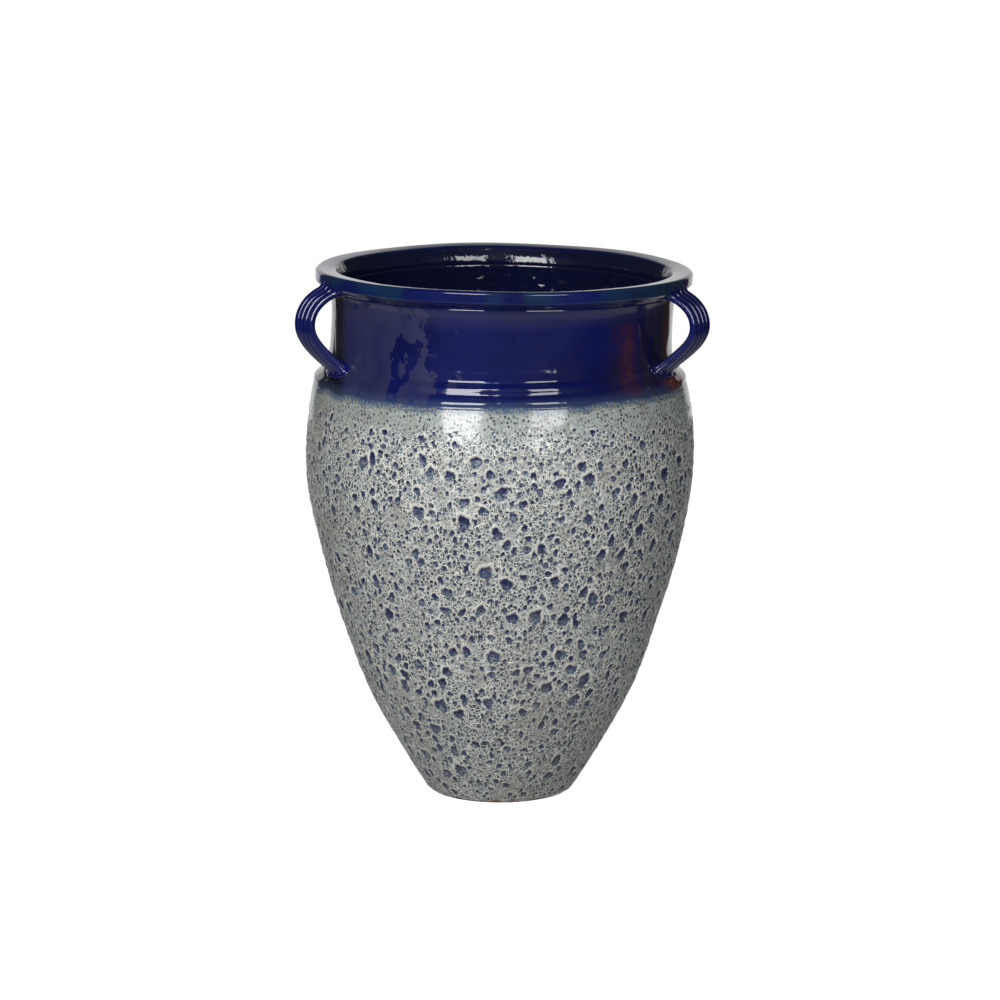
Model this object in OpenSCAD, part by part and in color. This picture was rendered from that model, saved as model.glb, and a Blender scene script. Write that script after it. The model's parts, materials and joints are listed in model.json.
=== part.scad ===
// Glazed stoneware amphora with an open mouth and two ribbed strap handles.
// Millimetres, +Z up, origin at the centre of the foot on the ground plane.

/* [Body] */
// Height from the ground to the top of the rim
height = 550; // [540:1:570]
// Outside radius where the wall leaves the foot
foot_r = 76.5; // [70:0.5:84]
// Largest outside radius
belly_r = 200.5; // [196:0.5:206]
// Height of the largest radius
belly_z = 356; // [345:1:365]
// Thickness of the wall
wall = 10.5; // [8:0.5:12]
// Thickness of the floor, measured from the ground
floor_t = 16; // [12:1:20]

/* [Foot] */
// Radius of the hollow turned under the foot
hollow_r = 54; // [40:1:60]
// Depth of that hollow
hollow_depth = 5; // [2:0.5:6]
// Height of the bevel round the foot
foot_bevel = 4; // [2:0.5:6]

/* [Neck] */
// Outside radius of the neck at its narrowest
neck_r = 176; // [174:0.5:178]
// Inside radius of the mouth
mouth_r = 166; // [160:0.5:168]
// Height where the bore inside the neck becomes straight
bore_low_z = 470; // [465:1:480]
// Height where the shoulder ends and the neck starts
glaze_line_z = 432; // [430:0.5:434]
// Height of the crest of the lower throwing ring
lower_ring_z = 439; // [438:0.5:440]
// Height of the crest of the upper throwing ring
upper_ring_z = 451.5; // [450:0.5:453]
// How far each throwing ring stands proud
ring_proud = 2.6; // [1:0.2:3]

/* [Rim] */
// Outside radius of the rolled lip
lip_r = 193.5; // [190:0.5:196]
// Radius of the crest of the lip
crest_r = 189.5; // [187:0.5:189.5]
// Depth of the lip from its crest to its underside
lip_depth = 20; // [18:0.5:22]

/* [Handles] */
// Angle of each handle from the side towards the front
handle_angle = 23; // [0:1:35]
// Width of the strap between its ends
strap_w = 36; // [32:1:38]
// Width of the strap where it meets the pot
root_w = 46; // [42:1:50]
// Thickness of the strap at the top
strap_t = 9; // [8:0.2:10]
// Thickness of the strap at its lower end
root_t = 12.5; // [11:0.5:14]
// Radius of the middle of the strap at its furthest point
strap_reach = 218; // [215:0.5:222]
// Number of ribs along the strap
ribs = 4; // [3:1:5]
// Depth of the grooves between the ribs
groove = 2; // [0.8:0.2:2.4]

/* [Hidden] */
$fn = 96;

cobalt = [0.09, 0.09, 0.38];
crater_glaze = [0.55, 0.6, 0.6];
bare_clay = [0.55, 0.33, 0.22];

// Heights where one section of clay is joined to the next
lower_seam_z = 170;
belly_seam_z = 330;
lip_seam_z = height - lip_depth;

// Outer edge of the face the pot stands on, and the slope of the hollow's side
foot_face_r = foot_r - 5.5;
hollow_slope = 3;

// Half height of a throwing ring
ring_half = 6;

// Steps between the points of the outline on the wall, the rings, the neck and its fillet
wall_step = 16;
ring_step = 1.75;
neck_step = 12;
fillet_step = 2.8;

// Swelling of the wall from the foot to the belly:
// [share of the height, share of the radius gained]
wall_swell = [[0, 0], [0.11, 0.197], [0.33, 0.524], [0.56, 0.752],
              [0.78, 0.918], [0.9, 0.984], [1, 1]];

// Shoulder above the belly: [height, radius lost from the belly]
shoulder_fall = [[395, 2.3], [glaze_line_z, 8.3]];

// Throat above the shoulder: [height, radius gained over the neck]
fillet_z = lip_seam_z - 14;
throat_flare = [[445, 9], [457, 2.2], [472, 0.4], [492, 0], [fillet_z, 0],
                [lip_seam_z - 5, 1.6], [lip_seam_z, 4.5]];

// Outside of the pot as [height, radius] from the foot to the lip
outside = concat(
    [for (s = wall_swell)
        [foot_bevel + s[0] * (belly_z - foot_bevel), foot_r + s[1] * (belly_r - foot_r)]],
    [for (s = shoulder_fall) [s[0], belly_r - s[1]]],
    [for (s = throat_flare) [s[0], neck_r + s[1]]]);

last_i = len(outside) - 1;

// Slope of the outline at point i
function slope(i) =
    let (a = max(i - 1, 0), b = min(i + 1, last_i))
    (outside[b][1] - outside[a][1]) / (outside[b][0] - outside[a][0]);

// Radius at height z on the cubic curve between points i and i + 1
function curve_r(i, z) =
    let (span = outside[i + 1][0] - outside[i][0],
         t = (z - outside[i][0]) / span)
    outside[i][1] * (2 * t * t * t - 3 * t * t + 1)
    + slope(i) * span * (t * t * t - 2 * t * t + t)
    + outside[i + 1][1] * (3 * t * t - 2 * t * t * t)
    + slope(i + 1) * span * (t * t * t - t * t);

// Index of the curve piece that holds height z
function piece(z, i = 0) = (i >= last_i - 1 || z < outside[i + 1][0]) ? i : piece(z, i + 1);

// Height of a throwing ring's swelling at height z
function ring(z, crest_z) =
    abs(z - crest_z) < ring_half ? ring_proud * (1 + cos(180 * (z - crest_z) / ring_half)) / 2 : 0;

// Outside radius of the pot at height z
function outer_r(z) = curve_r(piece(z), z) + ring(z, lower_ring_z) + ring(z, upper_ring_z);

// Inside radius: the wall keeps its thickness square to its own slope, then closes in to
// the straight bore
function inner_r(z) =
    let (lean = curve_r(piece(z), z + 1) - curve_r(piece(z), z))
    z >= bore_low_z
        ? mouth_r
        : min(curve_r(piece(z), z) - wall * sqrt(1 + lean * lean), mouth_r + bore_low_z - z);

// Heights from a to b in equal steps no longer than the given step
function heights(a, b, step) =
    let (n = ceil((b - a) / step))
    [for (i = [0 : n]) a + (b - a) * i / n];

function reversed(list) = [for (i = [len(list) - 1 : -1 : 0]) list[i]];
function tail(list) = [for (i = [1 : len(list) - 1]) list[i]];

// Points along an ellipse arc round [cx, cz]
function arc(cx, cz, a, b, from, to, n) =
    [for (i = [0 : n])
        let (t = from + (to - from) * i / n)
        [cx + a * cos(t), cz + b * sin(t)]];

// One thrown section of the wall between two heights
module wall_section(outer_z, inner_z) {
    rotate_extrude()
        polygon(concat([for (z = outer_z) [outer_r(z), z]],
                       [for (z = reversed(inner_z)) [inner_r(z), z]]));
}

// Floor disc with a bevelled foot and a hollow turned underneath
module base_slab() {
    color(bare_clay)
    rotate_extrude()
        polygon([[0, hollow_depth],
                 [hollow_r - hollow_slope, hollow_depth],
                 [hollow_r, 0],
                 [foot_face_r, 0],
                 [foot_r, foot_bevel],
                 [outer_r((foot_bevel + floor_t) / 2), (foot_bevel + floor_t) / 2],
                 [outer_r(floor_t), floor_t],
                 [0, floor_t]]);
}

module lower_wall() {
    steps = heights(floor_t, lower_seam_z, wall_step);
    color(crater_glaze) wall_section(steps, steps);
}

module belly_wall() {
    steps = heights(lower_seam_z, belly_seam_z, wall_step);
    color(crater_glaze) wall_section(steps, steps);
}

module shoulder_wall() {
    steps = heights(belly_seam_z, glaze_line_z, wall_step / 2);
    color(crater_glaze) wall_section(steps, steps);
}

// Heights of the outline from low_z over the rings and up the neck to the lip
ring_top_z = upper_ring_z + ring_half;
function neck_heights(low_z) = concat(
    heights(low_z, ring_top_z, ring_step),
    tail(heights(ring_top_z, fillet_z, neck_step)),
    tail(heights(fillet_z, lip_seam_z, fillet_step)));

// Neck with its two throwing rings and a straight bore inside
module neck_collar() {
    inner_steps = concat(heights(glaze_line_z, bore_low_z, neck_step), [lip_seam_z]);
    color(cobalt) wall_section(neck_heights(glaze_line_z), inner_steps);
}

// Height of the lip's widest line, and the rounding and lowest line of its underside
lip_equator_z = height - 7;
under_round = 9;
under_z = lip_seam_z + 2.5;
under_points = 5;

// Outer edge of the lip from its widest line up to its crest:
// [share of the way from the crest out to the widest line, depth below the crest]
lip_edge = [[0.95, 4.5], [0.86, 2.2], [0.7, 1], [0.4, 0.25], [0, 0]];

// Top and inside of the lip from its crest down to the bore:
// [radius gained over the bore, depth below the crest]
lip_fall = [[17, 0.5], [12.5, 1], [8.8, 1.5], [6.8, 2.2], [5.7, 3.8], [4.6, 7], [3.2, 10.5],
            [1.8, 14], [0.4, 18], [0, lip_depth]];

// Outside of the lip, from its underside over to its crest
function lip_outside() = concat(
    [[outer_r(lip_seam_z), lip_seam_z]],
    arc(lip_r - under_round, lip_equator_z, under_round, lip_equator_z - under_z,
        -90, 0, under_points),
    [for (e = lip_edge) [crest_r + e[0] * (lip_r - crest_r), height - e[1]]]);

function lip_inside() = [for (f = lip_fall) [mouth_r + f[0], height - f[1]]];

module rim_lip() {
    color(cobalt)
    rotate_extrude()
        polygon(concat(lip_outside(), lip_inside()));
}

// Centre line of a handle in two cubic arcs: each control point is [radius, height].
// The strap starts inside the lip, reaches furthest at strap_mid_z and ends in the neck wall
strap_mid_z = height - 47.5;
upper_arc = [[lip_r - 9.5, height - 14],
             [lip_r + 7.5, height - 18.5],
             [strap_reach, strap_mid_z + 18.5],
             [strap_reach, strap_mid_z]];
lower_arc = [[strap_reach, strap_mid_z],
             [strap_reach, strap_mid_z - 16.5],
             [strap_reach - 18, strap_mid_z - 32.5],
             [neck_r - 2, strap_mid_z - 51.5]];
arc_steps = 14;

function bezier(p, t) =
    let (u = 1 - t)
    u * u * u * p[0] + 3 * u * u * t * p[1] + 3 * u * t * t * p[2] + t * t * t * p[3];

function bezier_way(p, t) =
    let (u = 1 - t)
    3 * u * u * (p[1] - p[0]) + 6 * u * t * (p[2] - p[1]) + 3 * t * t * (p[3] - p[2]);

// Stations along the strap: [centre, unit direction, share of the way down]
stations = concat(
    [for (i = [0 : arc_steps - 1])
        let (t = i / arc_steps, w = bezier_way(upper_arc, t))
        [bezier(upper_arc, t), w / norm(w), t / 2]],
    [for (i = [0 : arc_steps])
        let (t = i / arc_steps, w = bezier_way(lower_arc, t))
        [bezier(lower_arc, t), w / norm(w), 0.5 + t / 2]]);

// The strap widens towards both roots and thickens towards the lower one
spread_power = 2.5;
thicken_power = 1.3;
function width_at(s) = strap_w + (root_w - strap_w) * pow(abs(2 * s - 1), spread_power);
function thickness_at(s) = strap_t + (root_t - strap_t) * pow(max(0, 2 * s - 1), thicken_power);

// Points along the ribbed face, each round edge and the flat back of the strap
face_points = 16;
edge_points = 4;
back_points = 4;

// Outline of the strap's section: round edges, ribs on the outer face
function section(w, t) = concat(
    [for (i = [0 : face_points])
        let (x = -1 + 2 * i / face_points)
        [x * (w / 2 - t / 2), t / 2 - groove * (1 - cos(360 * ribs * (x + 1) / 2)) / 2
                              * (1 - x * x * x * x)]],
    [for (i = [1 : edge_points - 1])
        let (a = 90 - 180 * i / edge_points)
        [w / 2 - t / 2 + t / 2 * cos(a), t / 2 * sin(a)]],
    [for (i = [0 : back_points])
        [(1 - 2 * i / back_points) * (w / 2 - t / 2), -t / 2]],
    [for (i = [1 : edge_points - 1])
        let (a = -90 - 180 * i / edge_points)
        [-w / 2 + t / 2 + t / 2 * cos(a), t / 2 * sin(a)]]);

section_n = len(section(strap_w, strap_t));

// Points of one section placed in space; outward is square to the centre line
function placed(station) =
    let (c = station[0], d = station[1], s = station[2],
         out = [-d[1], d[0]])
    [for (p = section(width_at(s), thickness_at(s)))
        [c[0] + out[0] * p[1], p[0], c[1] + out[1] * p[1]]];

module strap() {
    n = len(stations);
    polyhedron(
        points = [for (s = stations) each placed(s)],
        faces = concat(
            [[for (k = [0 : section_n - 1]) k]],
            [for (i = [0 : n - 2], k = [0 : section_n - 1])
                let (a = i * section_n + k, b = i * section_n + (k + 1) % section_n)
                each [[a, a + section_n, b], [b, a + section_n, b + section_n]]],
            [[for (k = [section_n - 1 : -1 : 0]) (n - 1) * section_n + k]]));
}

// Outer form of the neck and lip, solid through, that the strap ends meet
module neck_form() {
    form_low_z = glaze_line_z - 16;
    rotate_extrude()
        polygon(concat([[0, form_low_z]],
                       [for (z = neck_heights(form_low_z)) if (z < lip_seam_z) [outer_r(z), z]],
                       lip_outside(),
                       [[0, height]]));
}

module handle(angle) {
    color(cobalt)
    difference() {
        rotate([0, 0, angle]) strap();
        neck_form();
    }
}

module handle_left() {
    handle(180 + handle_angle);
}

module handle_right() {
    handle(-handle_angle);
}

base_slab();
lower_wall();
belly_wall();
shoulder_wall();
neck_collar();
rim_lip();
handle_left();
handle_right();
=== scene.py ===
import json
import math
import bpy
import numpy as np
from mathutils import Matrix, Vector
from mathutils.bvhtree import BVHTree


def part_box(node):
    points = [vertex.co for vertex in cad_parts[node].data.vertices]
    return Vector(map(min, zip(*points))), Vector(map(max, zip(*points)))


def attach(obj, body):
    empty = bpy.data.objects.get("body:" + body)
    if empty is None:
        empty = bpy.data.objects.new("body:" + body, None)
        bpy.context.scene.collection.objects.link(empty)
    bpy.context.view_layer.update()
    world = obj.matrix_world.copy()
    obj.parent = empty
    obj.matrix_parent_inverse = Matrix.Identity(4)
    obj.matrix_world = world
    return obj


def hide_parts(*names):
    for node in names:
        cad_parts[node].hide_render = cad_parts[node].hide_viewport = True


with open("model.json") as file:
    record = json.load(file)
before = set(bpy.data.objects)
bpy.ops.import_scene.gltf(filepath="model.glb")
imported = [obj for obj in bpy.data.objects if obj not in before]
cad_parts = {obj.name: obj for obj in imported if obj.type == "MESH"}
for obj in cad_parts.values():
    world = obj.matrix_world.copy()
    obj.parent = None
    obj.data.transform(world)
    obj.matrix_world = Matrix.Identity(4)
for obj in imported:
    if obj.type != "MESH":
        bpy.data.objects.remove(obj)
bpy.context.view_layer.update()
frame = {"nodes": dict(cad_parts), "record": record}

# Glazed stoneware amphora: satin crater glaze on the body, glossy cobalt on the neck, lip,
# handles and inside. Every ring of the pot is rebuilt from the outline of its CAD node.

MM = 0.001
TAU = 2 * math.pi

# ---------------------------------------- sizes from the frame

SIDE_RAY_Y = 0.00001             # rays run just beside the seam line of the turned nodes
WALLS = ["base_slab", "lower_wall", "belly_wall", "shoulder_wall", "neck_collar"]
SECTION_TOP = {name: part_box(name)[1][2] for name in WALLS}
SECTION_LOW = {name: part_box(name)[0][2] for name in WALLS}
FLOOR_TOP = SECTION_TOP["base_slab"]
GLAZE_LINE = SECTION_LOW["neck_collar"]
LIP_SEAM = SECTION_TOP["neck_collar"]
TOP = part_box("rim_lip")[1][2]
LIP_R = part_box("rim_lip")[1][0]
NECK_BORE_R = frame["record"]["mounts"][1]["dims"]["r_mm"] * MM

# The pot is hand thrown: its neck leans a little and its rim dips to one side
LEAN = 4.4 * MM                  # of the rim to the right
LEAN_START = GLAZE_LINE + 12 * MM
RIM_DIP = math.radians(0.7)
RIM_SADDLE = 2.2 * MM            # how far the rim's sides lie below its front and back

# Above its rings the neck goes up nearly straight
THROAT_LOW = GLAZE_LINE + 23.5 * MM
THROAT_TOP = GLAZE_LINE + 50 * MM
THROAT_SLOPE = 0.055             # how much it narrows upwards

AROUND = 840                     # points round a wall
ROW = 1.6 * MM                   # height of a row of faces on the outside of a wall
SHOULDER_ROW = 1.15 * MM
INNER_ROW = 11 * MM
NECK_ROW = 2.3 * MM
RING_ROW = 0.75 * MM             # of the throwing rings at the neck's root
BORE_ROW = 2.5 * MM
FOOT_ROW = 0.8 * MM

rng = np.random.default_rng(31)


def node_tree_of(name):
    """Search tree of a CAD node's mesh."""
    mesh = frame["nodes"][name].data
    points = [v.co.copy() for v in mesh.vertices]
    faces = [tuple(p.vertices) for p in mesh.polygons]
    return BVHTree.FromPolygons(points, faces)


def smoothstep(low, high, x):
    t = np.clip((x - low) / (high - low), 0.0, 1.0)
    return t * t * (3 - 2 * t)


def softened(values, spacing, sigma):
    """Values on an even grid, blurred by a bell of width sigma with their ends held."""
    reach = int(math.ceil(3 * sigma / spacing))
    offsets = np.arange(-reach, reach + 1) * spacing
    bell = np.exp(-0.5 * (offsets / sigma) ** 2)
    bell /= bell.sum()
    before = 2 * values[0] - values[reach:0:-1]
    after = 2 * values[-1] - values[-2:-reach - 2:-1]
    return np.convolve(np.concatenate([before, values, after]), bell, mode="valid")


class Outline:
    """Outside and inside radius of the pot's wall at any height, read from the CAD nodes."""

    STEP = 0.5 * MM
    BLUR = 1.0 * MM

    def __init__(self):
        self.heights = np.arange(0.5 * MM, LIP_SEAM - 0.2 * MM, self.STEP)
        trees = {name: node_tree_of(name) for name in WALLS}
        outer, inner = [], []
        for z in self.heights:
            name = next(n for n in WALLS if z < SECTION_TOP[n])
            outer.append(self.hit(trees[name], z, from_outside=True))
            inner.append(self.hit(trees[name], z, from_outside=False) if name != "base_slab" else np.nan)
        inner = np.array(inner)
        first = np.flatnonzero(~np.isnan(inner))[0]
        inner[:first] = inner[first]
        outer = np.array(outer)
        straight = (self.heights > THROAT_LOW) & (self.heights < THROAT_TOP)
        throat = np.interp(THROAT_TOP, self.heights, outer) + THROAT_SLOPE * (THROAT_TOP - self.heights)
        outer[straight] = np.minimum(outer, throat)[straight]
        self.outer = softened(outer, self.STEP, self.BLUR)
        self.inner = softened(inner, self.STEP, 4 * self.BLUR)

    @staticmethod
    def hit(tree, z, from_outside):
        start = Vector((1.0 if from_outside else 0.0, SIDE_RAY_Y, z))
        way = Vector((-1.0 if from_outside else 1.0, 0.0, 0.0))
        place = tree.ray_cast(start, way)[0]
        return math.hypot(place.x, place.y)

    def outside(self, z):
        return np.interp(z, self.heights, self.outer)

    def inside(self, z):
        return np.interp(z, self.heights, self.inner)


outline = Outline()


# ---------------------------------------- uneven hand-made forms

class Waves:
    """Smooth random height over angle and height: a sum of plain waves, whole turns round the pot."""

    def __init__(self, count, turns, length, seed):
        r = np.random.default_rng(seed)
        self.turns = r.integers(turns[0], turns[1] + 1, count) * r.choice([-1, 1], count)
        self.rise = TAU / r.uniform(length[0], length[1], count) * r.choice([-1, 1], count)
        self.phase = r.uniform(0, TAU, count)

    def __call__(self, theta, z):
        total = 0.0
        for k, m, p in zip(self.turns, self.rise, self.phase):
            total = total + np.cos(k * theta + m * z + p)
        return total / math.sqrt(len(self.turns))


throwing_marks = Waves(7, (0, 2), (7 * MM, 16 * MM), seed=3)
slow_dents = Waves(9, (2, 7), (60 * MM, 160 * MM), seed=4)
glaze_flow = Waves(14, (10, 34), (22 * MM, 60 * MM), seed=5)
lumps = Waves(24, (18, 60), (12 * MM, 40 * MM), seed=6)
line_waver = Waves(8, (4, 30), (400 * MM, 900 * MM), seed=8)


def handmade(p):
    """Leans the neck and dips the rim of points p, shape (..., 3)."""
    q = p.copy()
    rise = np.clip((p[..., 2] - LEAN_START) / (TOP - LEAN_START), 0.0, 1.2)
    q[..., 0] += LEAN * rise
    high = smoothstep(0.0, 0.75, rise)
    q[..., 2] -= high * (p[..., 0] * math.tan(RIM_DIP) + RIM_SADDLE * (p[..., 0] / LIP_R) ** 2)
    return q


# ---------------------------------------- craters in the glaze

LAYERS = ("crater", "rim", "floor_tone_and_shade", "trail", "cover", "clay", "thin", "inside", "strap")
CRATER_SIZES = [                 # number, half width from, to, depth
    (620, 3.6 * MM, 7.0 * MM, 1.2 * MM),
    (2500, 1.7 * MM, 3.8 * MM, 0.8 * MM),
]
CRATER_GAP = 1.12                # least distance between two craters, in their half widths
CRATER_TOP = GLAZE_LINE - 22 * MM   # above it the glaze is smooth and glossy


class Craters:
    """Burst bubbles of the crater glaze, scattered over the body."""

    def __init__(self):
        total = sum(count for count, *_ in CRATER_SIZES)
        taken = np.zeros((total, 4))
        rows = []
        for count, low, high, depth in CRATER_SIZES:
            wanted = len(rows) + count
            for _ in range(count * 4):
                if len(rows) == wanted:
                    break
                z = rng.uniform(6 * MM, CRATER_TOP)
                r = float(outline.outside(z))
                if rng.uniform(0, outline.outer.max()) > r:
                    continue
                size = low + (high - low) * rng.uniform(0, 1) ** 1.6
                size *= 0.55 + 0.45 * float(smoothstep(0.0, 40 * MM, CRATER_TOP - z))
                theta = rng.uniform(-math.pi, math.pi)
                spot = np.array([r * math.cos(theta), r * math.sin(theta), z])
                others = taken[:len(rows)]
                apart = np.linalg.norm(others[:, :3] - spot, axis=1)
                if np.any(apart < CRATER_GAP * (others[:, 3] + size)):
                    continue
                taken[len(rows)] = [*spot, size]
                rows.append([*spot, size, theta, depth * size / high, *rng.uniform(0, 1, 8)])
        self.rows = rows

    def press(self, theta, z):
        """Depth in metres and masks on an even grid of angles and heights.

        The masks are the crater's floor, its raised rim, how pale its floor is (a random tone with painted
        shade, darker towards the top under the arch), and the run below."""
        depth, floor, rim, floor_tone_and_shade, trail = (np.zeros((len(z), len(theta))) for _ in range(5))
        step = TAU / len(theta)
        for x, y, zc, size, angle, deep, *luck in self.rows:
            tall = size * (1.0 + 0.65 * luck[0])
            reach = 3.2 * max(tall, size)
            i = np.flatnonzero(abs(z - zc) < reach)
            if not len(i):
                continue
            r = math.hypot(x, y)
            half = int(reach / (r * step)) + 1
            centre = int(round((angle - theta[0]) / step))
            j = np.arange(centre - half, centre + half + 1) % len(theta)
            off = (theta[j] - angle + math.pi) % TAU - math.pi
            u, v = np.meshgrid(off * r, z[i] - zc)
            tilt = (luck[1] - 0.5) * 0.9
            u, v = u * math.cos(tilt) + v * math.sin(tilt), v * math.cos(tilt) - u * math.sin(tilt)
            v = v / tall
            u = u / (size * (1 + 0.16 * np.clip(v, -1, 1)))      # a little wider at the top
            turn = np.arctan2(v, u)
            edge = (1 + 0.13 * np.cos(2 * turn + TAU * luck[2]) + 0.10 * np.cos(3 * turn + TAU * luck[3])
                    + 0.07 * np.cos(5 * turn + TAU * luck[4]) + 0.04 * np.cos(9 * turn + TAU * luck[5]))
            d = np.hypot(u, v) / edge
            inside = (1 - smoothstep(0.62, 1.0, d)) * (1 - 0.45 * smoothstep(0.1, -1.0, v))
            bead = np.exp(-((d - 1.12) / 0.15) ** 2) * (0.45 + 0.55 * np.clip(v + 0.2, -0.8, 1))
            block = np.ix_(i, j)
            fresh = inside > floor[block]
            # Painted shade: each crater's floor darker towards its top, under the arch, over a random tone.
            shade = np.clip(0.42 * luck[6] + 0.18 - 0.62 * v, 0, 1)
            floor_tone_and_shade[block] = np.where(fresh, shade, floor_tone_and_shade[block])
            floor[block] = np.maximum(floor[block], inside)
            depth[block] = np.maximum(depth[block], deep * inside)
            rim[block] = np.maximum(rim[block], bead)
            below = smoothstep(0.0, -0.9, v) * smoothstep(-3.0 - luck[7], -1.0, v)
            run = below * (1 - smoothstep(0.45, 1.0, abs(u) * (1.0 - 0.12 * v)))
            trail[block] = np.maximum(trail[block], run * (0.4 + 0.6 * luck[5]))
        rim *= 1 - floor
        trail *= 1 - floor
        return depth, floor, rim, floor_tone_and_shade, trail


craters = Craters()


# ---------------------------------------- meshes

def write_layers(mesh, layers, shape):
    """Stores every one of LAYERS on the mesh's points, 0 where layers has none of that name."""
    for layer in LAYERS:
        values = np.broadcast_to(layers.get(layer, 0.0), shape)
        attribute = mesh.attributes.new(layer, "FLOAT", "POINT")
        attribute.data.foreach_set("value", values.astype(np.float32).ravel())


def placed(mesh):
    """A new object of the mesh, in the scene."""
    mesh.validate()
    piece = bpy.data.objects.new(mesh.name, mesh)
    bpy.context.scene.collection.objects.link(piece)
    return piece


def loop_mesh(name, points, layers, cap_rows):
    """Closed ring from rows of points, shape (rows, around, 3); the last row joins the first.

    layers holds one number a point for each named attribute, and the rest of LAYERS are 0.
    The faces above each row in cap_rows are flat seams."""
    rows, around = points.shape[:2]
    index = np.arange(rows * around).reshape(rows, around)
    up = np.roll(index, -1, axis=0)
    corners = np.stack([index, np.roll(index, -1, 1), np.roll(up, -1, 1), up], -1).reshape(-1, 4)
    mesh = bpy.data.meshes.new(name)
    mesh.vertices.add(rows * around)
    mesh.vertices.foreach_set("co", points.astype(np.float32).ravel())
    mesh.loops.add(corners.size)
    mesh.loops.foreach_set("vertex_index", corners.ravel().astype(np.int32))
    mesh.polygons.add(len(corners))
    mesh.polygons.foreach_set("loop_start", np.arange(0, corners.size, 4, dtype=np.int32))
    smooth = np.ones((rows, around), dtype=bool)
    for row in cap_rows:
        smooth[row] = False
    mesh.polygons.foreach_set("use_smooth", smooth.ravel())
    mesh.update(calc_edges=True)
    write_layers(mesh, layers, (rows, around))
    return placed(mesh)


def even_heights(low, high, step):
    return np.linspace(low, high, int(math.ceil((high - low) / step)) + 1)


THETA = np.linspace(-math.pi, math.pi, AROUND, endpoint=False)


def turned(radius, z, theta=THETA):
    """Points of rows of radii, shape (rows, around), at heights z."""
    z = np.broadcast_to(np.reshape(z, (-1, 1)), radius.shape)
    return np.stack([radius * np.cos(theta), radius * np.sin(theta), z], -1)


def finish_piece(piece, node, material):
    piece.data.materials.append(material)
    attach(piece, "root")
    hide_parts(node)


DENT = 0.45 * MM                 # depth of the slow dents
MARK = 0.12 * MM                 # depth of the throwing marks outside


def wander(z):
    """Uneven body under the glaze: slow dents and faint throwing marks, none at the foot."""
    grid_z = z[:, None]
    marks = MARK * (1 - smoothstep(GLAZE_LINE - 60 * MM, GLAZE_LINE - 36 * MM, grid_z))
    uneven = DENT * slow_dents(THETA, grid_z) + marks * throwing_marks(THETA, grid_z)
    return uneven * smoothstep(0.0, 60 * MM, grid_z)


ROLLING = 0.22 * MM              # slow lumps of the thick glaze
ROLLING_HIGH = 0.03 * MM         # what is left of them in the glossy band under the glaze line
BEAD = 0.45 * MM                 # height of the raised rim round a crater


def crater_surface(z):
    """Radius and masks of the crater-glazed outside at heights z."""
    depth, floor, rim, floor_tone_and_shade, trail = craters.press(THETA, z)
    grid_z = z[:, None]
    line = GLAZE_LINE - 2.0 * MM + 1.3 * MM * line_waver(THETA, grid_z)
    cover = smoothstep(6.5 * MM, -6.5 * MM, grid_z - line)
    radius = outline.outside(grid_z) + wander(z)
    calm = smoothstep(GLAZE_LINE - 50 * MM, GLAZE_LINE - 34 * MM, grid_z)
    rolling = ROLLING * (1 - calm) + ROLLING_HIGH
    radius = radius + cover * (rolling * lumps(THETA, grid_z) + BEAD * rim - depth)
    return radius, {"crater": floor * cover, "rim": rim * cover, "floor_tone_and_shade": floor_tone_and_shade, "trail": trail,
                    "cover": cover}


def inner_surface(z):
    """Radius of the inside: throwing marks, and a wavy glaze near the mouth."""
    grid_z = z[:, None]
    near_mouth = smoothstep(GLAZE_LINE, GLAZE_LINE + 40 * MM, grid_z)
    near_mouth = near_mouth * (1 - smoothstep(LIP_SEAM - 18 * MM, LIP_SEAM - 3 * MM, grid_z))
    marks = 1 - smoothstep(GLAZE_LINE, GLAZE_LINE + 30 * MM, grid_z)
    dents = 1 - smoothstep(LIP_SEAM - 40 * MM, LIP_SEAM, grid_z)
    return outline.inside(grid_z) + 0.3 * MM * marks * throwing_marks(THETA, grid_z) \
        + 0.4 * MM * dents * slow_dents(THETA, grid_z) + 0.30 * MM * near_mouth * lumps(THETA, grid_z)


def inside_layers(layers, inner_rows):
    """The outside's layers with the inner rows added: glazed in plain cobalt."""
    blank = np.zeros((inner_rows, AROUND))
    full = {name: np.concatenate([values, blank]) for name, values in layers.items()}
    outer_rows = len(full["cover"]) - inner_rows
    full["inside"] = np.concatenate([np.zeros((outer_rows, AROUND)), blank + 1.0])
    return full


def wall_section(node, outer_step, material):
    """A closed ring of wall: outside up, inside down."""
    low, high = SECTION_LOW[node], SECTION_TOP[node]
    z_out = even_heights(low, high, outer_step)
    z_in = even_heights(low, high, INNER_ROW)[::-1]
    outer_r, layers = crater_surface(z_out)
    points = np.concatenate([turned(outer_r, z_out), turned(inner_surface(z_in), z_in)])
    layers = inside_layers(layers, len(z_in))
    piece = loop_mesh(node + "_glazed", handmade(points), layers, [len(z_out) - 1, len(points) - 1])
    finish_piece(piece, node, material)


HOLLOW_R = 54 * MM               # of the shallow hollow turned under the foot
HOLLOW_Z = 5 * MM
CLAY_EDGE = 2.4 * MM             # height of the glaze's lower edge above the ground
CLAY_WAVER = 1.0 * MM


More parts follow.
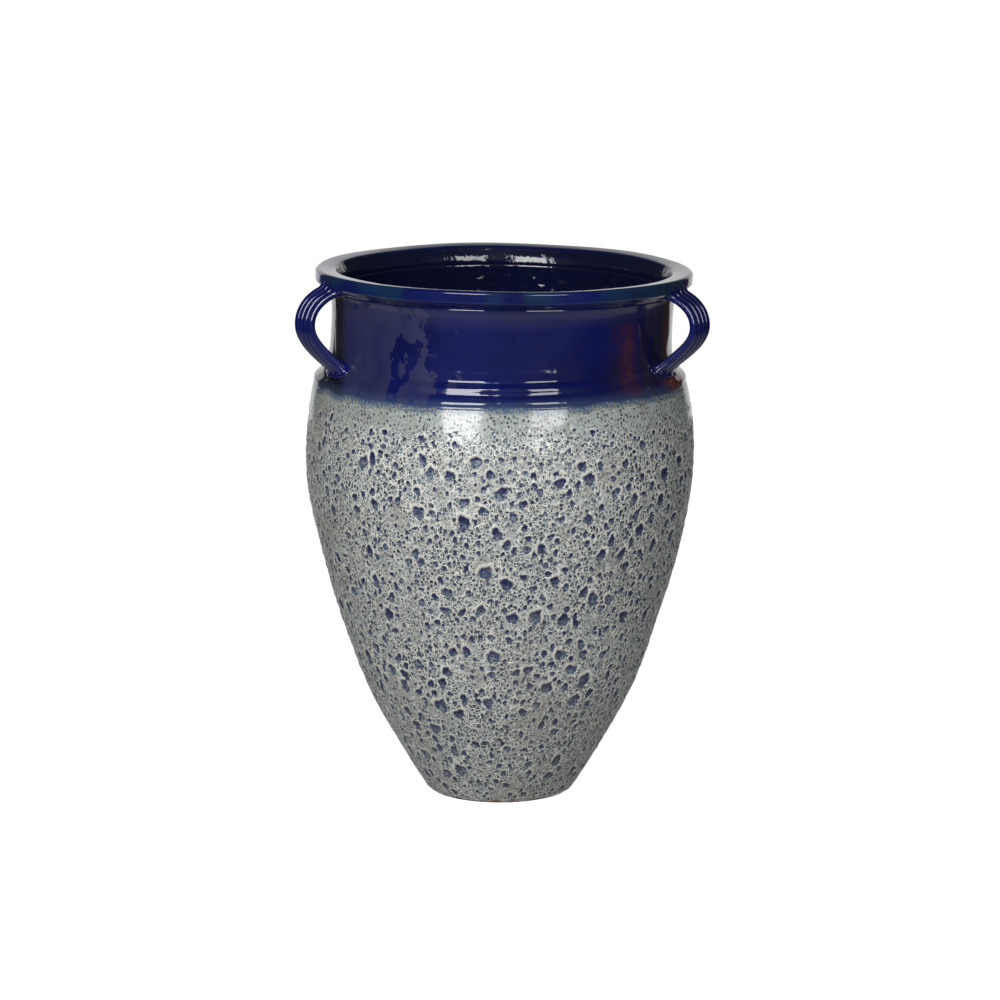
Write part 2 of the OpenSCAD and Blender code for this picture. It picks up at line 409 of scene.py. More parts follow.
def base_piece(material):
    """Foot and floor as one skin: centre of the underside, foot ring, outside, top, centre."""
    under = [(1 * MM, HOLLOW_Z), (20 * MM, HOLLOW_Z), (HOLLOW_R - 8 * MM, HOLLOW_Z),
             (HOLLOW_R - 3.5 * MM, HOLLOW_Z - 0.3 * MM), (HOLLOW_R - 1.5 * MM, 2.4 * MM),
             (HOLLOW_R - 0.4 * MM, 0.5 * MM), (HOLLOW_R + 0.6 * MM, 0.0)]     # the hollow's edge
    foot_face_r = float(outline.outside(0.5 * MM)) - 1.2 * MM
    under += [(r, 0.0) for r in np.linspace(HOLLOW_R + 3 * MM, foot_face_r - 1.2 * MM, 7)]
    under += [(foot_face_r - 0.3 * MM, 0.15 * MM)]
    z_side = even_heights(FOOT_ROW, FLOOR_TOP, FOOT_ROW)
    side_r, side = crater_surface(z_side)
    inner_edge = float(outline.inside(FLOOR_TOP)) - 1 * MM
    top = [(r, FLOOR_TOP) for r in np.linspace(inner_edge + 4 * MM, 1 * MM, 22)]
    rows_r = [np.full(AROUND, r) for r, _ in under] + list(side_r) + [np.full(AROUND, r) for r, _ in top]
    rows_z = [z for _, z in under] + list(z_side) + [z for _, z in top]
    points = turned(np.array(rows_r), rows_z)
    none_under, none_top = np.zeros((len(under), AROUND)), np.zeros((len(top), AROUND))
    full = {layer: np.concatenate([none_under, values, none_top]) for layer, values in side.items()}
    edge = CLAY_EDGE + CLAY_WAVER * line_waver(THETA, z_side[:, None])
    bare_side = smoothstep(1.0 * MM, -1.0 * MM, z_side[:, None] - edge)
    full["clay"] = np.concatenate([none_under + 1.0, bare_side, none_top])
    full["inside"] = np.concatenate([none_under, bare_side * 0.0, none_top + 1.0])
    piece = loop_mesh("base_slab_glazed", handmade(points), full, [len(under) + len(z_side) - 1])
    finish_piece(piece, "base_slab", material)


RING_ZONE_TOP = GLAZE_LINE + 28 * MM
FLOW = 0.10 * MM                 # unevenness of the glossy glaze
NECK_MARK = 0.02 * MM


def neck_piece(material):
    """Neck with its throwing rings outside and its bore inside."""
    z_out = np.concatenate([even_heights(GLAZE_LINE, RING_ZONE_TOP, RING_ROW),
                            even_heights(RING_ZONE_TOP, LIP_SEAM, NECK_ROW)[1:]])
    grid_z = z_out[:, None]
    outer_r, layers = crater_surface(z_out)
    flow = smoothstep(GLAZE_LINE + 20 * MM, GLAZE_LINE + 40 * MM, grid_z)
    outer_r = outer_r + flow * (FLOW * glaze_flow(THETA, grid_z)
                                + NECK_MARK * throwing_marks(THETA, grid_z))
    layers["thin"] = thin_glaze(THETA[None, :], grid_z)
    z_in = even_heights(GLAZE_LINE, LIP_SEAM, BORE_ROW)[::-1]
    points = np.concatenate([turned(outer_r, z_out), turned(inner_surface(z_in), z_in)])
    layers = inside_layers(layers, len(z_in))
    piece = loop_mesh("neck_collar_glazed", handmade(points), layers, [len(z_out) - 1, len(points) - 1])
    finish_piece(piece, "neck_collar", material)


LIP_FACE = 11 * MM               # depth where the lip's straight face starts to turn under
EDGE_DEPTH = 2 * MM              # depth of the rounded edge above the face
LIP_BLUR = 0.35 * MM             # smoothing of the lip's outline
LIP_SPACING = 0.1 * MM
EDGE_ROW = 0.3 * MM              # rows at the lip's upper outer edge
LIP_ROW = 1.1 * MM               # rows elsewhere


def lip_section():
    """Closed outline of the lip as (radius, height), going out, up, over and down inside."""
    mesh = frame["nodes"]["rim_lip"].data
    spots = {(round(v.co.x, 6), round(v.co.z, 6)) for v in mesh.vertices
             if abs(v.co.y) < SIDE_RAY_Y and v.co.x > 0}
    spots = np.array(sorted(spots))
    middle = spots.mean(axis=0)
    turn = np.arctan2(spots[:, 1] - middle[1], spots[:, 0] - middle[0])
    start = math.atan2(LIP_SEAM - middle[1], outline.outside(LIP_SEAM) - middle[0]) - 0.02
    order = np.argsort((turn - start) % TAU)
    return spots[order]


def lip_line():
    """The lip's outline with a soft underside, a straight face and crisp upper edges.

    Its rows are close together at the upper outer edge and spread out elsewhere."""
    points = lip_section()
    depth = TOP - points[:, 1]
    face = (points[:, 0] > LIP_R - 2 * MM) & (depth > EDGE_DEPTH) & (depth < LIP_FACE)
    points[face, 0] = LIP_R
    gaps = np.linalg.norm(np.diff(points, axis=0), axis=1)
    along = np.concatenate([[0], np.cumsum(gaps)])
    fine = np.arange(0, along[-1], LIP_SPACING)
    line = np.stack([np.interp(fine, along, points[:, k]) for k in (0, 1)], 1)
    under = (line[:, 0] > NECK_BORE_R + 12 * MM) & (line[:, 1] < TOP - LIP_FACE)
    span = TOP - LIP_FACE - LIP_SEAM
    t = np.clip((line[:, 1] - LIP_SEAM) / span, 0, 1)
    seam_r = outline.outside(LIP_SEAM)
    seam_slope = (seam_r - outline.outside(LIP_SEAM - 2 * MM)) / (2 * MM)
    swell = seam_r + (LIP_R - seam_r) * t * t * (3 - 2 * t) + seam_slope * span * t * (1 - t) ** 2
    line[under, 0] = swell[under]
    low_inside = (line[:, 0] < NECK_BORE_R + 8 * MM) & (line[:, 1] < TOP - 3 * MM)
    gain = smoothstep(0.0, 17 * MM, line[:, 1] - LIP_SEAM)
    line[low_inside, 0] = NECK_BORE_R + ((line[:, 0] - NECK_BORE_R) * gain)[low_inside]
    line = np.stack([softened(line[:, k], LIP_SPACING, LIP_BLUR) for k in (0, 1)], 1)
    edge = (line[:, 0] > NECK_BORE_R + 20 * MM) & (line[:, 1] > TOP - 4 * MM)
    rows = np.cumsum(np.where(edge, 1 / EDGE_ROW, 1 / LIP_ROW)) * LIP_SPACING
    keep = np.interp(np.arange(0, int(rows[-1]) + 1) * rows[-1] / int(rows[-1]), rows, np.arange(len(rows)))
    return line[keep.round().astype(int)]


LIP_LINE = lip_line()


def lip_piece(material):
    """Rolled lip whose edge wanders; at its seam it follows the neck's uneven wall."""
    r = LIP_LINE[:, 0][:, None]
    z = LIP_LINE[:, 1][:, None]
    inner = smoothstep(NECK_BORE_R + 9 * MM, NECK_BORE_R + 5 * MM, r)
    sway = smoothstep(LIP_SEAM, LIP_SEAM + 8 * MM, z)
    wall = wander(np.array([LIP_SEAM])) * (1 - inner) \
        + inner * (inner_surface(np.array([LIP_SEAM])) - outline.inside(LIP_SEAM))
    uneven = DENT * slow_dents(THETA, z * 0 + TOP) + FLOW * glaze_flow(THETA, z)
    radius = r + wall * (1 - sway) + sway * uneven
    height = z + sway * DENT * slow_dents(THETA + 1.3, z * 0) + 0 * THETA
    points = np.stack([radius * np.cos(THETA), radius * np.sin(THETA), height], -1)
    layers = {"thin": (1 - inner) * thin_glaze(THETA[None, :], height), "inside": inner + 0 * height}
    piece = loop_mesh("rim_lip_glazed", handmade(points), layers, [len(LIP_LINE) - 1])
    finish_piece(piece, "rim_lip", material)


# ---------------------------------------- handles

def handle_facts(node):
    """Angle round the pot and reach from its axis of a CAD handle."""
    co = np.array([v.co[:] for v in frame["nodes"][node].data.vertices])
    middle = co.mean(axis=0)
    return math.atan2(middle[1], middle[0]), np.hypot(co[:, 0], co[:, 1]).max()


RIGHT_HANDLE_ANGLE = handle_facts("handle_right")[0]
STRAP_W = 36 * MM
STRAP_T = 9 * MM
ROOT_W = 46 * MM                 # at the ends pressed on to the pot
ROOT_T = 12.5 * MM
GROOVE = 3.3 * MM                # depth between two rolls
TWIST = math.radians(8)          # how far the straps turn to the front half way along
FILLET = 6.0 * MM                # how far from the pot the strap starts to spread
STRAP_STEPS = 80                 # rings in each half of a strap
MID_DROP = 47.5 * MM             # of a strap's outermost point below the rim
MID_INSET = 2.4 * MM             # leaves room for the crown and the twist inside the CAD box
NECK_R = float(outline.outer[outline.heights > GLAZE_LINE].min())


# Where the glaze ran thin: [angle from the right handle, half width, strength, from, to]
THIN_SPOTS = [
    (6.5, 4.0, 1.0, GLAZE_LINE + 4 * MM, TOP - 22 * MM),
    (1.0, 5.0, 0.9, GLAZE_LINE - 8 * MM, GLAZE_LINE + 14 * MM),
    (-21.0, 4.0, 0.25, GLAZE_LINE + 6 * MM, TOP - 40 * MM),
    (12.0, 4.0, 0.8, TOP - 17 * MM, TOP - 9 * MM),
]


def thin_glaze(theta, z):
    """How thin the glaze is on the right of the neck and lip, where it turned red-brown."""
    total = 0.0
    for turn, width, strength, low, high in THIN_SPOTS:
        off = (theta - RIGHT_HANDLE_ANGLE - math.radians(turn) + math.pi) % TAU - math.pi
        spot = np.exp(-(off / math.radians(width)) ** 2)
        span = smoothstep(low - 3 * MM, low + 3 * MM, z) * (1 - smoothstep(high - 3 * MM, high + 3 * MM, z))
        total = total + strength * spot * span
    return np.clip(total, 0, 1) * (0.8 + 0.2 * glaze_flow(theta, z))


def bezier(p, t):
    """Point and unit direction at t on a cubic curve through the four points p."""
    u = 1 - t
    place = u ** 3 * p[0] + 3 * u * u * t * p[1] + 3 * u * t * t * p[2] + t ** 3 * p[3]
    way = 3 * u * u * (p[1] - p[0]) + 6 * u * t * (p[2] - p[1]) + 3 * t * t * (p[3] - p[2])
    return place, way / np.linalg.norm(way)


def pot_line():
    """Outline of the neck and the outside of the lip, with its outward normals."""
    neck_z = np.arange(GLAZE_LINE, LIP_SEAM, 0.5 * MM)
    neck = np.stack([outline.outside(neck_z), neck_z], 1)
    lip = LIP_LINE[:int(np.argmax(LIP_LINE[:, 1])) + 6]
    line = np.concatenate([neck, lip])
    way = np.gradient(line, axis=0)
    normal = np.stack([way[:, 1], -way[:, 0]], 1)
    return line, normal / np.linalg.norm(normal, axis=1, keepdims=True)


POT_LINE, POT_NORMAL = pot_line()


def clearance(r, z):
    """Distance of points from the outside of the neck and lip, below 0 inside the clay."""
    spots = np.stack([r, z], -1)[:, None, :]
    away = spots - POT_LINE[None]
    reach = np.linalg.norm(away, axis=2)
    nearest = reach.argmin(axis=1)
    rows = np.arange(len(nearest))
    side = np.einsum("ij,ij->i", away[rows, nearest], POT_NORMAL[nearest])
    return np.where(side > 0, 1, -1) * reach[rows, nearest]


RIBS = 4
ROLL = math.radians(78)          # how far a roll's face turns from its crest to its groove
ROLL_POINTS = 20                 # points across a roll
ROLL_INSET = 1.3 * MM            # of the strap's plain section inside the rolls
CROWN = 1.2 * MM                 # how much the middle of the strap's face stands above its sides


def strap_outline(width, thick, rib_depth):
    """Section of the strap as (across, outward): round rolls on the face and a flatter back."""
    turn = np.linspace(-math.pi / 2, math.pi / 2, 241)
    half = width / 2 - ROLL_INSET
    lift = thick / 2 + CROWN - rib_depth
    base = np.stack([half * np.sin(turn), lift * np.cos(turn) ** 0.8], 1)
    gaps = np.linalg.norm(np.diff(base, axis=0), axis=1)
    along = np.concatenate([[0], np.cumsum(gaps)])
    even = np.linspace(0, along[-1], RIBS * ROLL_POINTS + 1)
    base = np.stack([np.interp(even, along, base[:, k]) for k in (0, 1)], 1)
    way = np.gradient(base, axis=0)
    way /= np.linalg.norm(way, axis=1, keepdims=True)
    spot = (even / along[-1] * RIBS) % 1.0 * 2 - 1
    spot[-1] = 1.0
    swell = np.sqrt(1 - (spot * math.sin(ROLL)) ** 2) - math.cos(ROLL)
    swell = swell / (1 - math.cos(ROLL)) * rib_depth
    face = base + swell[:, None] * np.stack([-way[:, 1], way[:, 0]], 1)
    turn = np.linspace(math.pi / 2, -math.pi / 2, 33)[1:-1]
    back = np.stack([half * np.sin(turn), -thick / 2 * np.cos(turn) ** 0.6], 1)
    return np.concatenate([face, back])


ROOT_LUMP = 0.8 * MM             # of the thumbed clay where the lower end is pressed on
root_lumps = Waves(10, (1, 4), (9 * MM, 22 * MM), seed=12)


def strap_route(reach):
    """Middle line of a strap as (place, direction, share of the way), from the lip to the neck."""
    mid_r = reach - STRAP_T / 2 - MID_INSET
    mid_z = TOP - MID_DROP
    upper = np.array([[LIP_R - 9.5 * MM, TOP - 14 * MM], [LIP_R + 7.5 * MM, TOP - 18.5 * MM],
                      [mid_r, mid_z + 18.5 * MM], [mid_r, mid_z]])
    lower = np.array([[mid_r, mid_z], [mid_r, mid_z - 16.5 * MM],
                      [mid_r - 18 * MM, mid_z - 32.5 * MM], [NECK_R - 2 * MM, mid_z - 51.5 * MM]])
    route = [(*bezier(upper, t), t / 2) for t in np.arange(0, 1, 1 / STRAP_STEPS)]
    return route + [(*bezier(lower, t), 0.5 + t / 2) for t in np.linspace(0, 1, STRAP_STEPS + 1)]


def handle_piece(node, material):
    """Pulled strap with ribs on its outer face, spread where its ends are pressed on."""
    angle, reach = handle_facts(node)
    points = []
    for centre, way, share in strap_route(reach):
        spread = abs(2 * share - 1)
        width = STRAP_W + (ROOT_W - STRAP_W) * spread ** 2.5
        thick = STRAP_T + (ROOT_T - STRAP_T) * max(0.0, 2 * share - 1) ** 1.3
        fade = 1 - 0.85 * smoothstep(0.84, 1.0, spread)
        ring = strap_outline(width, thick, GROOVE * fade)
        out = np.array([-way[1], way[0]])
        twist = -TWIST * math.copysign(1 - spread ** 2, math.cos(angle))
        across = ring[:, 0] * math.cos(twist) + ring[:, 1] * math.sin(twist)
        lift = ring[:, 1] * math.cos(twist) - ring[:, 0] * math.sin(twist)
        r = centre[0] + out[0] * lift
        z = centre[1] + out[1] * lift
        near = np.clip(1 - clearance(np.hypot(r, across), z) / FILLET, 0, 1)
        swell = 0.75 * FILLET * (1 - np.sqrt(np.clip(1 - near ** 2, 0, 1)))
        pressed = smoothstep(0.72, 0.95, spread) * (share > 0.5)
        swell = swell + ROOT_LUMP * pressed * root_lumps(across / STRAP_T, z + angle)
        size = np.hypot(across / width, lift / thick) + 1e-9
        across = across + swell * across / width / size
        lift = lift + swell * lift / thick / size
        r = centre[0] + out[0] * lift
        z = centre[1] + out[1] * lift
        points.append(np.stack([r * math.cos(angle) - across * math.sin(angle),
                                r * math.sin(angle) + across * math.cos(angle), z], 1))
    piece = tube_mesh(node + "_glazed", handmade(np.array(points)))
    finish_piece(piece, node, material)


def tube_mesh(name, points):
    """Closed tube from rings of points, shape (rings, around, 3), capped at both ends."""
    rings, around = points.shape[:2]
    middle = [points[0].mean(axis=0), points[-1].mean(axis=0)]
    verts = np.concatenate([points.reshape(-1, 3), np.array(middle)])
    first_cap, last_cap = rings * around, rings * around + 1
    faces = []
    for i in range(rings - 1):
        a, b = i * around, (i + 1) * around
        faces += [(a + k, b + k, b + (k + 1) % around, a + (k + 1) % around) for k in range(around)]
    faces += [(k, (k + 1) % around, first_cap) for k in range(around)]
    end = (rings - 1) * around
    faces += [(end + (k + 1) % around, end + k, last_cap) for k in range(around)]
    mesh = bpy.data.meshes.new(name)
    mesh.from_pydata(verts.tolist(), [], faces)
    mesh.polygons.foreach_set("use_smooth", np.ones(len(faces), dtype=bool))
    write_layers(mesh, {"strap": 1.0}, len(verts))
    return placed(mesh)


# ---------------------------------------- shader building

def linear(r, g, b):
    """Scene colour of an sRGB colour given as 0 to 255."""
    return [((c / 255 + 0.055) / 1.055) ** 2.4 if c > 10 else c / 255 / 12.92 for c in (r, g, b)] + [1.0]


class Value:
    """A number flowing through the nodes of a Graph, with plain arithmetic."""

    def __init__(self, shader, socket):
        self.shader = shader
        self.socket = socket

    def _math(self, operation, other, swap=False):
        pair = [other, self] if swap else [self, other]
        return self.shader.math(operation, *pair)

    def __add__(self, other):
        return self._math("ADD", other)

    def __sub__(self, other):
        return self._math("SUBTRACT", other)

    def __rsub__(self, other):
        return self._math("SUBTRACT", other, swap=True)

    def __mul__(self, other):
        return self._math("MULTIPLY", other)

    __radd__ = __add__
    __rmul__ = __mul__

    def most(self, other):
        return self._math("MAXIMUM", other)

    def between(self, low, high, out_low=0.0, out_high=1.0):
        """Rises smoothly from out_low at low to out_high at high."""
        return self.shader.ranged(self, low, high, out_low, out_high)


class Graph:
    """The nodes of a material or a world, emptied, with one node for its place."""

    def __init__(self, owner, coordinates):
        owner.use_nodes = True
        self.nodes = owner.node_tree.nodes
        self.links = owner.node_tree.links
        self.nodes.clear()
        self.place = self.nodes.new("ShaderNodeTexCoord").outputs[coordinates]

    def put(self, socket, value):
        if isinstance(value, Value):
            self.links.new(value.socket, socket)
        elif isinstance(value, bpy.types.NodeSocket):
            self.links.new(value, socket)
        else:
            socket.default_value = value

    def math(self, operation, first, second):
        node = self.nodes.new("ShaderNodeMath")
        node.operation = operation
        self.put(node.inputs[0], first)
        self.put(node.inputs[1], second)
        return Value(self, node.outputs[0])

    def ranged(self, value, low, high, out_low, out_high):
        node = self.nodes.new("ShaderNodeMapRange")
        node.interpolation_type = "SMOOTHSTEP"
        self.put(node.inputs["Value"], value)
        self.put(node.inputs["From Min"], low)
        self.put(node.inputs["From Max"], high)
        self.put(node.inputs["To Min"], out_low)
        self.put(node.inputs["To Max"], out_high)
        return Value(self, node.outputs["Result"])

    def along(self, axis, place=None):
        """The place along one axis, in metres for a material."""
        node = self.nodes.new("ShaderNodeSeparateXYZ")
        self.links.new(place or self.place, node.inputs[0])
        return Value(self, node.outputs[axis])


class Shader(Graph):
    """A procedural material on one Principled shader, in the pot's own coordinates."""

    def __init__(self, name):
        self.material = bpy.data.materials.new(name)
        super().__init__(self.material, "Object")
        self.surface = self.nodes.new("ShaderNodeBsdfPrincipled")
        output = self.nodes.new("ShaderNodeOutputMaterial")
        self.links.new(self.surface.outputs["BSDF"], output.inputs["Surface"])

    def layer(self, name):
        node = self.nodes.new("ShaderNodeAttribute")
        node.attribute_name = name
        return Value(self, node.outputs["Fac"])

    def stretched(self, factor):
        """Place scaled along each axis: below 1 makes a pattern longer that way."""
        node = self.nodes.new("ShaderNodeMapping")
        self.links.new(self.place, node.inputs["Vector"])
        node.inputs["Scale"].default_value = factor
        return node.outputs["Vector"]

    def warped(self, place, scale, amount):
        """Place pushed about by a noise whose lumps are 1 / scale metres across."""
        noise = self.nodes.new("ShaderNodeTexNoise")
        self.links.new(place, noise.inputs["Vector"])
        noise.inputs["Scale"].default_value = scale
        noise.inputs["Detail"].default_value = 2.0
        centred = self.nodes.new("ShaderNodeVectorMath")
        centred.operation = "SUBTRACT"
        self.links.new(noise.outputs["Color"], centred.inputs[0])
        centred.inputs[1].default_value = (0.5, 0.5, 0.5)
        push = self.nodes.new("ShaderNodeVectorMath")
        push.operation = "MULTIPLY_ADD"
        self.links.new(centred.outputs[0], push.inputs[0])
        push.inputs[1].default_value = (amount,) * 3
        self.links.new(place, push.inputs[2])
        return push.outputs[0]

    def noise(self, scale, detail=2.0, rough=0.5, twist=0.0, place=None):
        node = self.nodes.new("ShaderNodeTexNoise")
        self.links.new(place or self.place, node.inputs["Vector"])
        node.inputs["Scale"].default_value = scale
        node.inputs["Detail"].default_value = detail
        node.inputs["Roughness"].default_value = rough
        node.inputs["Distortion"].default_value = twist
        return Value(self, node.outputs["Fac"])

    def cells(self, scale, feature="F1", place=None):
        """A field of cells 1 / scale metres across.

        Gives the distance and, for F1, a random number a cell and the height in it, -0.5 to 0.5."""
        node = self.nodes.new("ShaderNodeTexVoronoi")
        node.feature = feature
        self.links.new(place or self.place, node.inputs["Vector"])
        node.inputs["Scale"].default_value = scale
        distance = Value(self, node.outputs["Distance"])
        if feature != "F1":
            return distance
        split = self.nodes.new("ShaderNodeSeparateColor")
        self.links.new(node.outputs["Color"], split.inputs[0])
        luck = Value(self, split.outputs[0])
        rise = (self.along("Z", place) - self.along("Z", node.outputs["Position"])) * scale
        return distance, luck, rise

    def mix(self, factor, first, second):
        """Colour first where factor is 0, second where it is 1."""
        node = self.nodes.new("ShaderNodeMix")
        node.data_type = "RGBA"
        node.clamp_factor = True
        self.put(node.inputs[0], factor)
        self.put(node.inputs[6], first)
        self.put(node.inputs[7], second)
        return node.outputs[2]

    def bump(self, height, distance, under=None):
        """Normal bent by a height of 0 to 1, distance metres high, on top of the normal under it."""
        node = self.nodes.new("ShaderNodeBump")
        node.inputs["Distance"].default_value = distance
        node.inputs["Strength"].default_value = 1.0
        self.put(node.inputs["Height"], height)
        if under is not None:
            self.links.new(under, node.inputs["Normal"])
        return node.outputs["Normal"]


def crater_look(s):
    """Colour, roughness and height of the crater glaze."""
    z = s.along("Z")
    high = z.between(GLAZE_LINE - 40 * MM, GLAZE_LINE - 12 * MM)
    glossy = z.between(GLAZE_LINE - 44 * MM, GLAZE_LINE - 30 * MM)
    low = z.between(0.16, 0.02)
    drawn = s.warped(s.stretched((1.0, 1.0, 0.80)), 130.0, 0.0040)
    edge = s.cells(CELL, "DISTANCE_TO_EDGE", drawn)
    _, luck, rise = s.cells(CELL, "F1", drawn)
    fine = s.warped(s.stretched((1.0, 1.0, 0.85)), 260.0, 0.0022)
    fine_edge = s.cells(FINE_CELL, "DISTANCE_TO_EDGE", fine)
    fine_spot, fine_luck, _ = s.cells(FINE_CELL, "F1", fine)
    patch = s.noise(42.0, 3.0, 0.6, place=s.stretched((1.0, 1.0, 0.5)))
    broken = s.noise(210.0, 3.0, 0.65)
    torn = s.noise(330.0, 3.0, 0.6) - 0.5

    crater = (s.layer("crater") + torn * 1.0).between(0.30, 0.55)
    rim = (s.layer("rim") + torn * 0.8).between(0.30, 0.62)
    trail = s.layer("trail")
    floor_tone_and_shade = s.layer("floor_tone_and_shade")
    smear = patch.between(0.52, 0.62) * 0.75 + trail * 0.35

    # Painted highlight: veins heavier along each cell's top edge.
    vein = edge.between(0.12, 0.04) * (broken + rise.between(-0.1, 0.35) * 0.20).between(0.48, 0.56)
    fine_vein = fine_edge.between(0.13, 0.06) * (broken + fine_luck * 0.2).between(0.68, 0.58)
    web = vein.most(fine_vein) * (1.0 - smear * 0.5)
    # Painted shade: each cell darker towards its top, under its vein, over a random tone.
    shade = luck * 0.5 + fine_luck * 0.5 - rise * 0.9 + (patch - 0.5) * 1.6 - 0.14 + high * 0.8
    cell = s.mix(shade.between(0.0, 0.6), linear(*DEEP_CELL), linear(*MID_CELL))
    cell = s.mix(shade.between(0.5, 1.2), cell, linear(*PALE_CELL))
    cell = s.mix(high * 0.8, cell, linear(*HIGH_GROUND))
    hollow = fine_spot.between(0.44, 0.30) * fine_luck.between(0.66, 0.56)
    ground = s.mix(smear, cell, linear(*GREY_RUN))
    ground = s.mix(hollow * (0.85 - 0.4 * smear), ground, linear(*PIT))
    ground = s.mix(web * (1.0 - 0.6 * high), ground, linear(*CREAM))
    ground = s.mix(hollow * high * 0.55, ground, linear(*PIT))

    # Crater floor from navy to grey-blue by its tone, which carries the painted shade under the arch.
    floor = s.mix(floor_tone_and_shade, linear(*NAVY_FLOOR), linear(*GREY_FLOOR))
    threads = fine_vein * 0.7
    floor = s.mix(threads * floor_tone_and_shade.between(0.0, 0.6), floor, linear(*PALE_CELL))
    colour = s.mix(crater, ground, floor)
    colour = s.mix(rim * 0.9, colour, linear(*CREAM))
    colour = s.mix(low * 0.12, colour, linear(*LOW_TINT))
    warm = s.noise(9.0, 2.0).between(0.50, 0.70) * 0.22
    colour = s.mix(warm, colour, linear(*WARM_GREY))
    ochre = s.noise(160.0, 2.0).between(0.70, 0.75) * 0.4
    colour = s.mix(ochre, colour, linear(*OCHRE))
    calm = 1.0 - glossy * 0.96
    rough = 0.34 + web * 0.12 - crater * 0.12
    rough = rough + (0.10 - rough) * glossy
    relief = web * 0.45 - rise * (1.0 - crater) * 0.5 - hollow * 0.5 + rim * 0.4 - crater * 0.4
    return colour, rough, relief * calm


def cobalt_look(s):
    """Colour, roughness and height of the cobalt glaze."""
    z = s.along("Z")
    x = s.along("X")
    inside = s.layer("inside")
    strap = s.layer("strap")
    wall = (1.0 - inside) * (1.0 - strap)
    colour = s.mix(s.noise(14.0, 3.0).between(0.35, 0.65), linear(*COBALT), linear(*COBALT_DARK))

    # Purple-grey haze on the left of the neck under the lip: partly a rougher glaze, partly a painted
    # reflection of a dim room on the left.
    ragged = s.warped(s.stretched((1.0, 1.0, 0.8)), 60.0, 0.022)
    haze_and_reflection = (s.noise(34.0, 3.0, 0.55, 0.0, ragged) - x * 3.4).between(0.78, 0.81)
    veil = s.noise(24.0, 3.0, 0.6, place=s.stretched((1.0, 1.0, 0.45))).between(0.25, 0.70, 0.35, 1.0)
    below_lip = z.between(TOP - 16 * MM, TOP - 24 * MM)
    haze_and_reflection = haze_and_reflection * veil * wall * below_lip * x.between(-0.172, -0.158)
    colour = s.mix(haze_and_reflection * 0.8, colour, linear(*REFLECTION_PURPLE))
    # Painted shade: the right of the neck darker, broken into vertical streaks.
    streak = s.noise(75.0, 3.0, 0.6, place=s.stretched((1.0, 1.0, 0.10))).between(0.46, 0.60)
    right_shade = x.between(0.095, 0.135) * wall
    # Painted shade: near-black on the far left of the neck below the lip, behind the left handle.
    left_edge_shade = x.between(-0.154, -0.164) * wall * below_lip
    colour = s.mix(left_edge_shade * 0.85, colour, linear(*LEFT_EDGE_SHADE))
    colour = s.mix(right_shade * (0.35 + 0.5 * streak), colour, linear(*RIGHT_SHADE_PURPLE))
    # Painted reflection: a lighter purple-grey band round the neck just under the lip.
    band = z.between(TOP - 44 * MM, TOP - 32 * MM) * z.between(TOP - 20 * MM, TOP - 26 * MM)
    colour = s.mix(band * wall * 0.35, colour, linear(*REFLECTION_PURPLE))

    # Teal where the cobalt thins at the glaze line; reaching up over the lower ring it is also a painted
    # sheen that lightens the rings.
    line = z.between(GLAZE_LINE + 13 * MM, GLAZE_LINE + 1 * MM)
    colour = s.mix(line * 0.35, colour, linear(*TEAL_BLUE))
    lip = z.between(TOP - 24 * MM, TOP - 10 * MM) * s.noise(15.0, 2.0).between(0.44, 0.60) * wall
    colour = s.mix(lip * 0.6, colour, linear(*GREEN_BLUE))
    thin = s.layer("thin") * s.noise(60.0, 3.0, 0.6).between(0.25, 0.50)
    colour = s.mix(thin, colour, linear(*RED_BROWN))
    # Painted shade: the inside of the pot darker navy than the cobalt outside.
    colour = s.mix(inside * 0.9, colour, linear(*INSIDE_SHADE_NAVY))
    specks = s.noise(240.0, 1.0).between(0.82, 0.84) * wall * 0.5
    colour = s.mix(specks, colour, linear(*OCHRE))
    rough = 0.07 + haze_and_reflection * 0.10
    still = z.between(TOP - 10 * MM, TOP - 18 * MM)
    slow = s.noise(30.0, 2.0, 0.4, 0.5, s.stretched((1.0, 1.0, 0.6))) - 0.5
    quick = s.noise(64.0, 3.0, 0.5, 1.2) - 0.5
    wave = slow * wall * still + quick * inside * 0.5 + s.noise(300.0, 2.0) * 0.02
    return colour, rough, wave


def clay_look(s):
    grain = s.noise(900.0, 4.0, 0.7)
    patch = s.noise(60.0, 3.0)
    colour = s.mix(patch, linear(*CLAY), linear(*CLAY_DARK))
    colour = s.mix(grain.between(0.55, 0.75) * 0.5, colour, linear(*CLAY_PALE))
    return colour, 0.85 + grain * 0.1, grain


CELL = 215.0                     # cells of the crater glaze's web in a metre
FINE_CELL = 300.0

CREAM = (250, 250, 240)
PALE_CELL = (178, 192, 196)
MID_CELL = (112, 130, 142)
DEEP_CELL = (30, 40, 66)
HIGH_GROUND = (158, 170, 168)
GREY_RUN = (160, 160, 156)
WARM_GREY = (132, 126, 112)
PIT = (40, 46, 54)
NAVY_FLOOR = (22, 28, 84)
GREY_FLOOR = (86, 100, 130)
INSIDE_SHADE_NAVY = (16, 20, 44)
# painted shade inside the pot
LOW_TINT = (112, 112, 98)
OCHRE = (150, 124, 62)
COBALT = (16, 25, 96)
COBALT_DARK = (15, 21, 76)
# painted reflection on the neck
REFLECTION_PURPLE = (60, 62, 98)
# painted shade on the right of the neck
RIGHT_SHADE_PURPLE = (40, 34, 58)
# painted shade on the neck's far left
LEFT_EDGE_SHADE = (18, 16, 24)
TEAL_BLUE = (90, 112, 144)
GREEN_BLUE = (24, 62, 88)
RED_BROWN = (126, 46, 24)
BORDER_GREY = (112, 134, 146)
TAN = (176, 166, 128)
CLAY = (158, 106, 78)
CLAY_DARK = (120, 78, 58)
CLAY_PALE = (188, 146, 116)


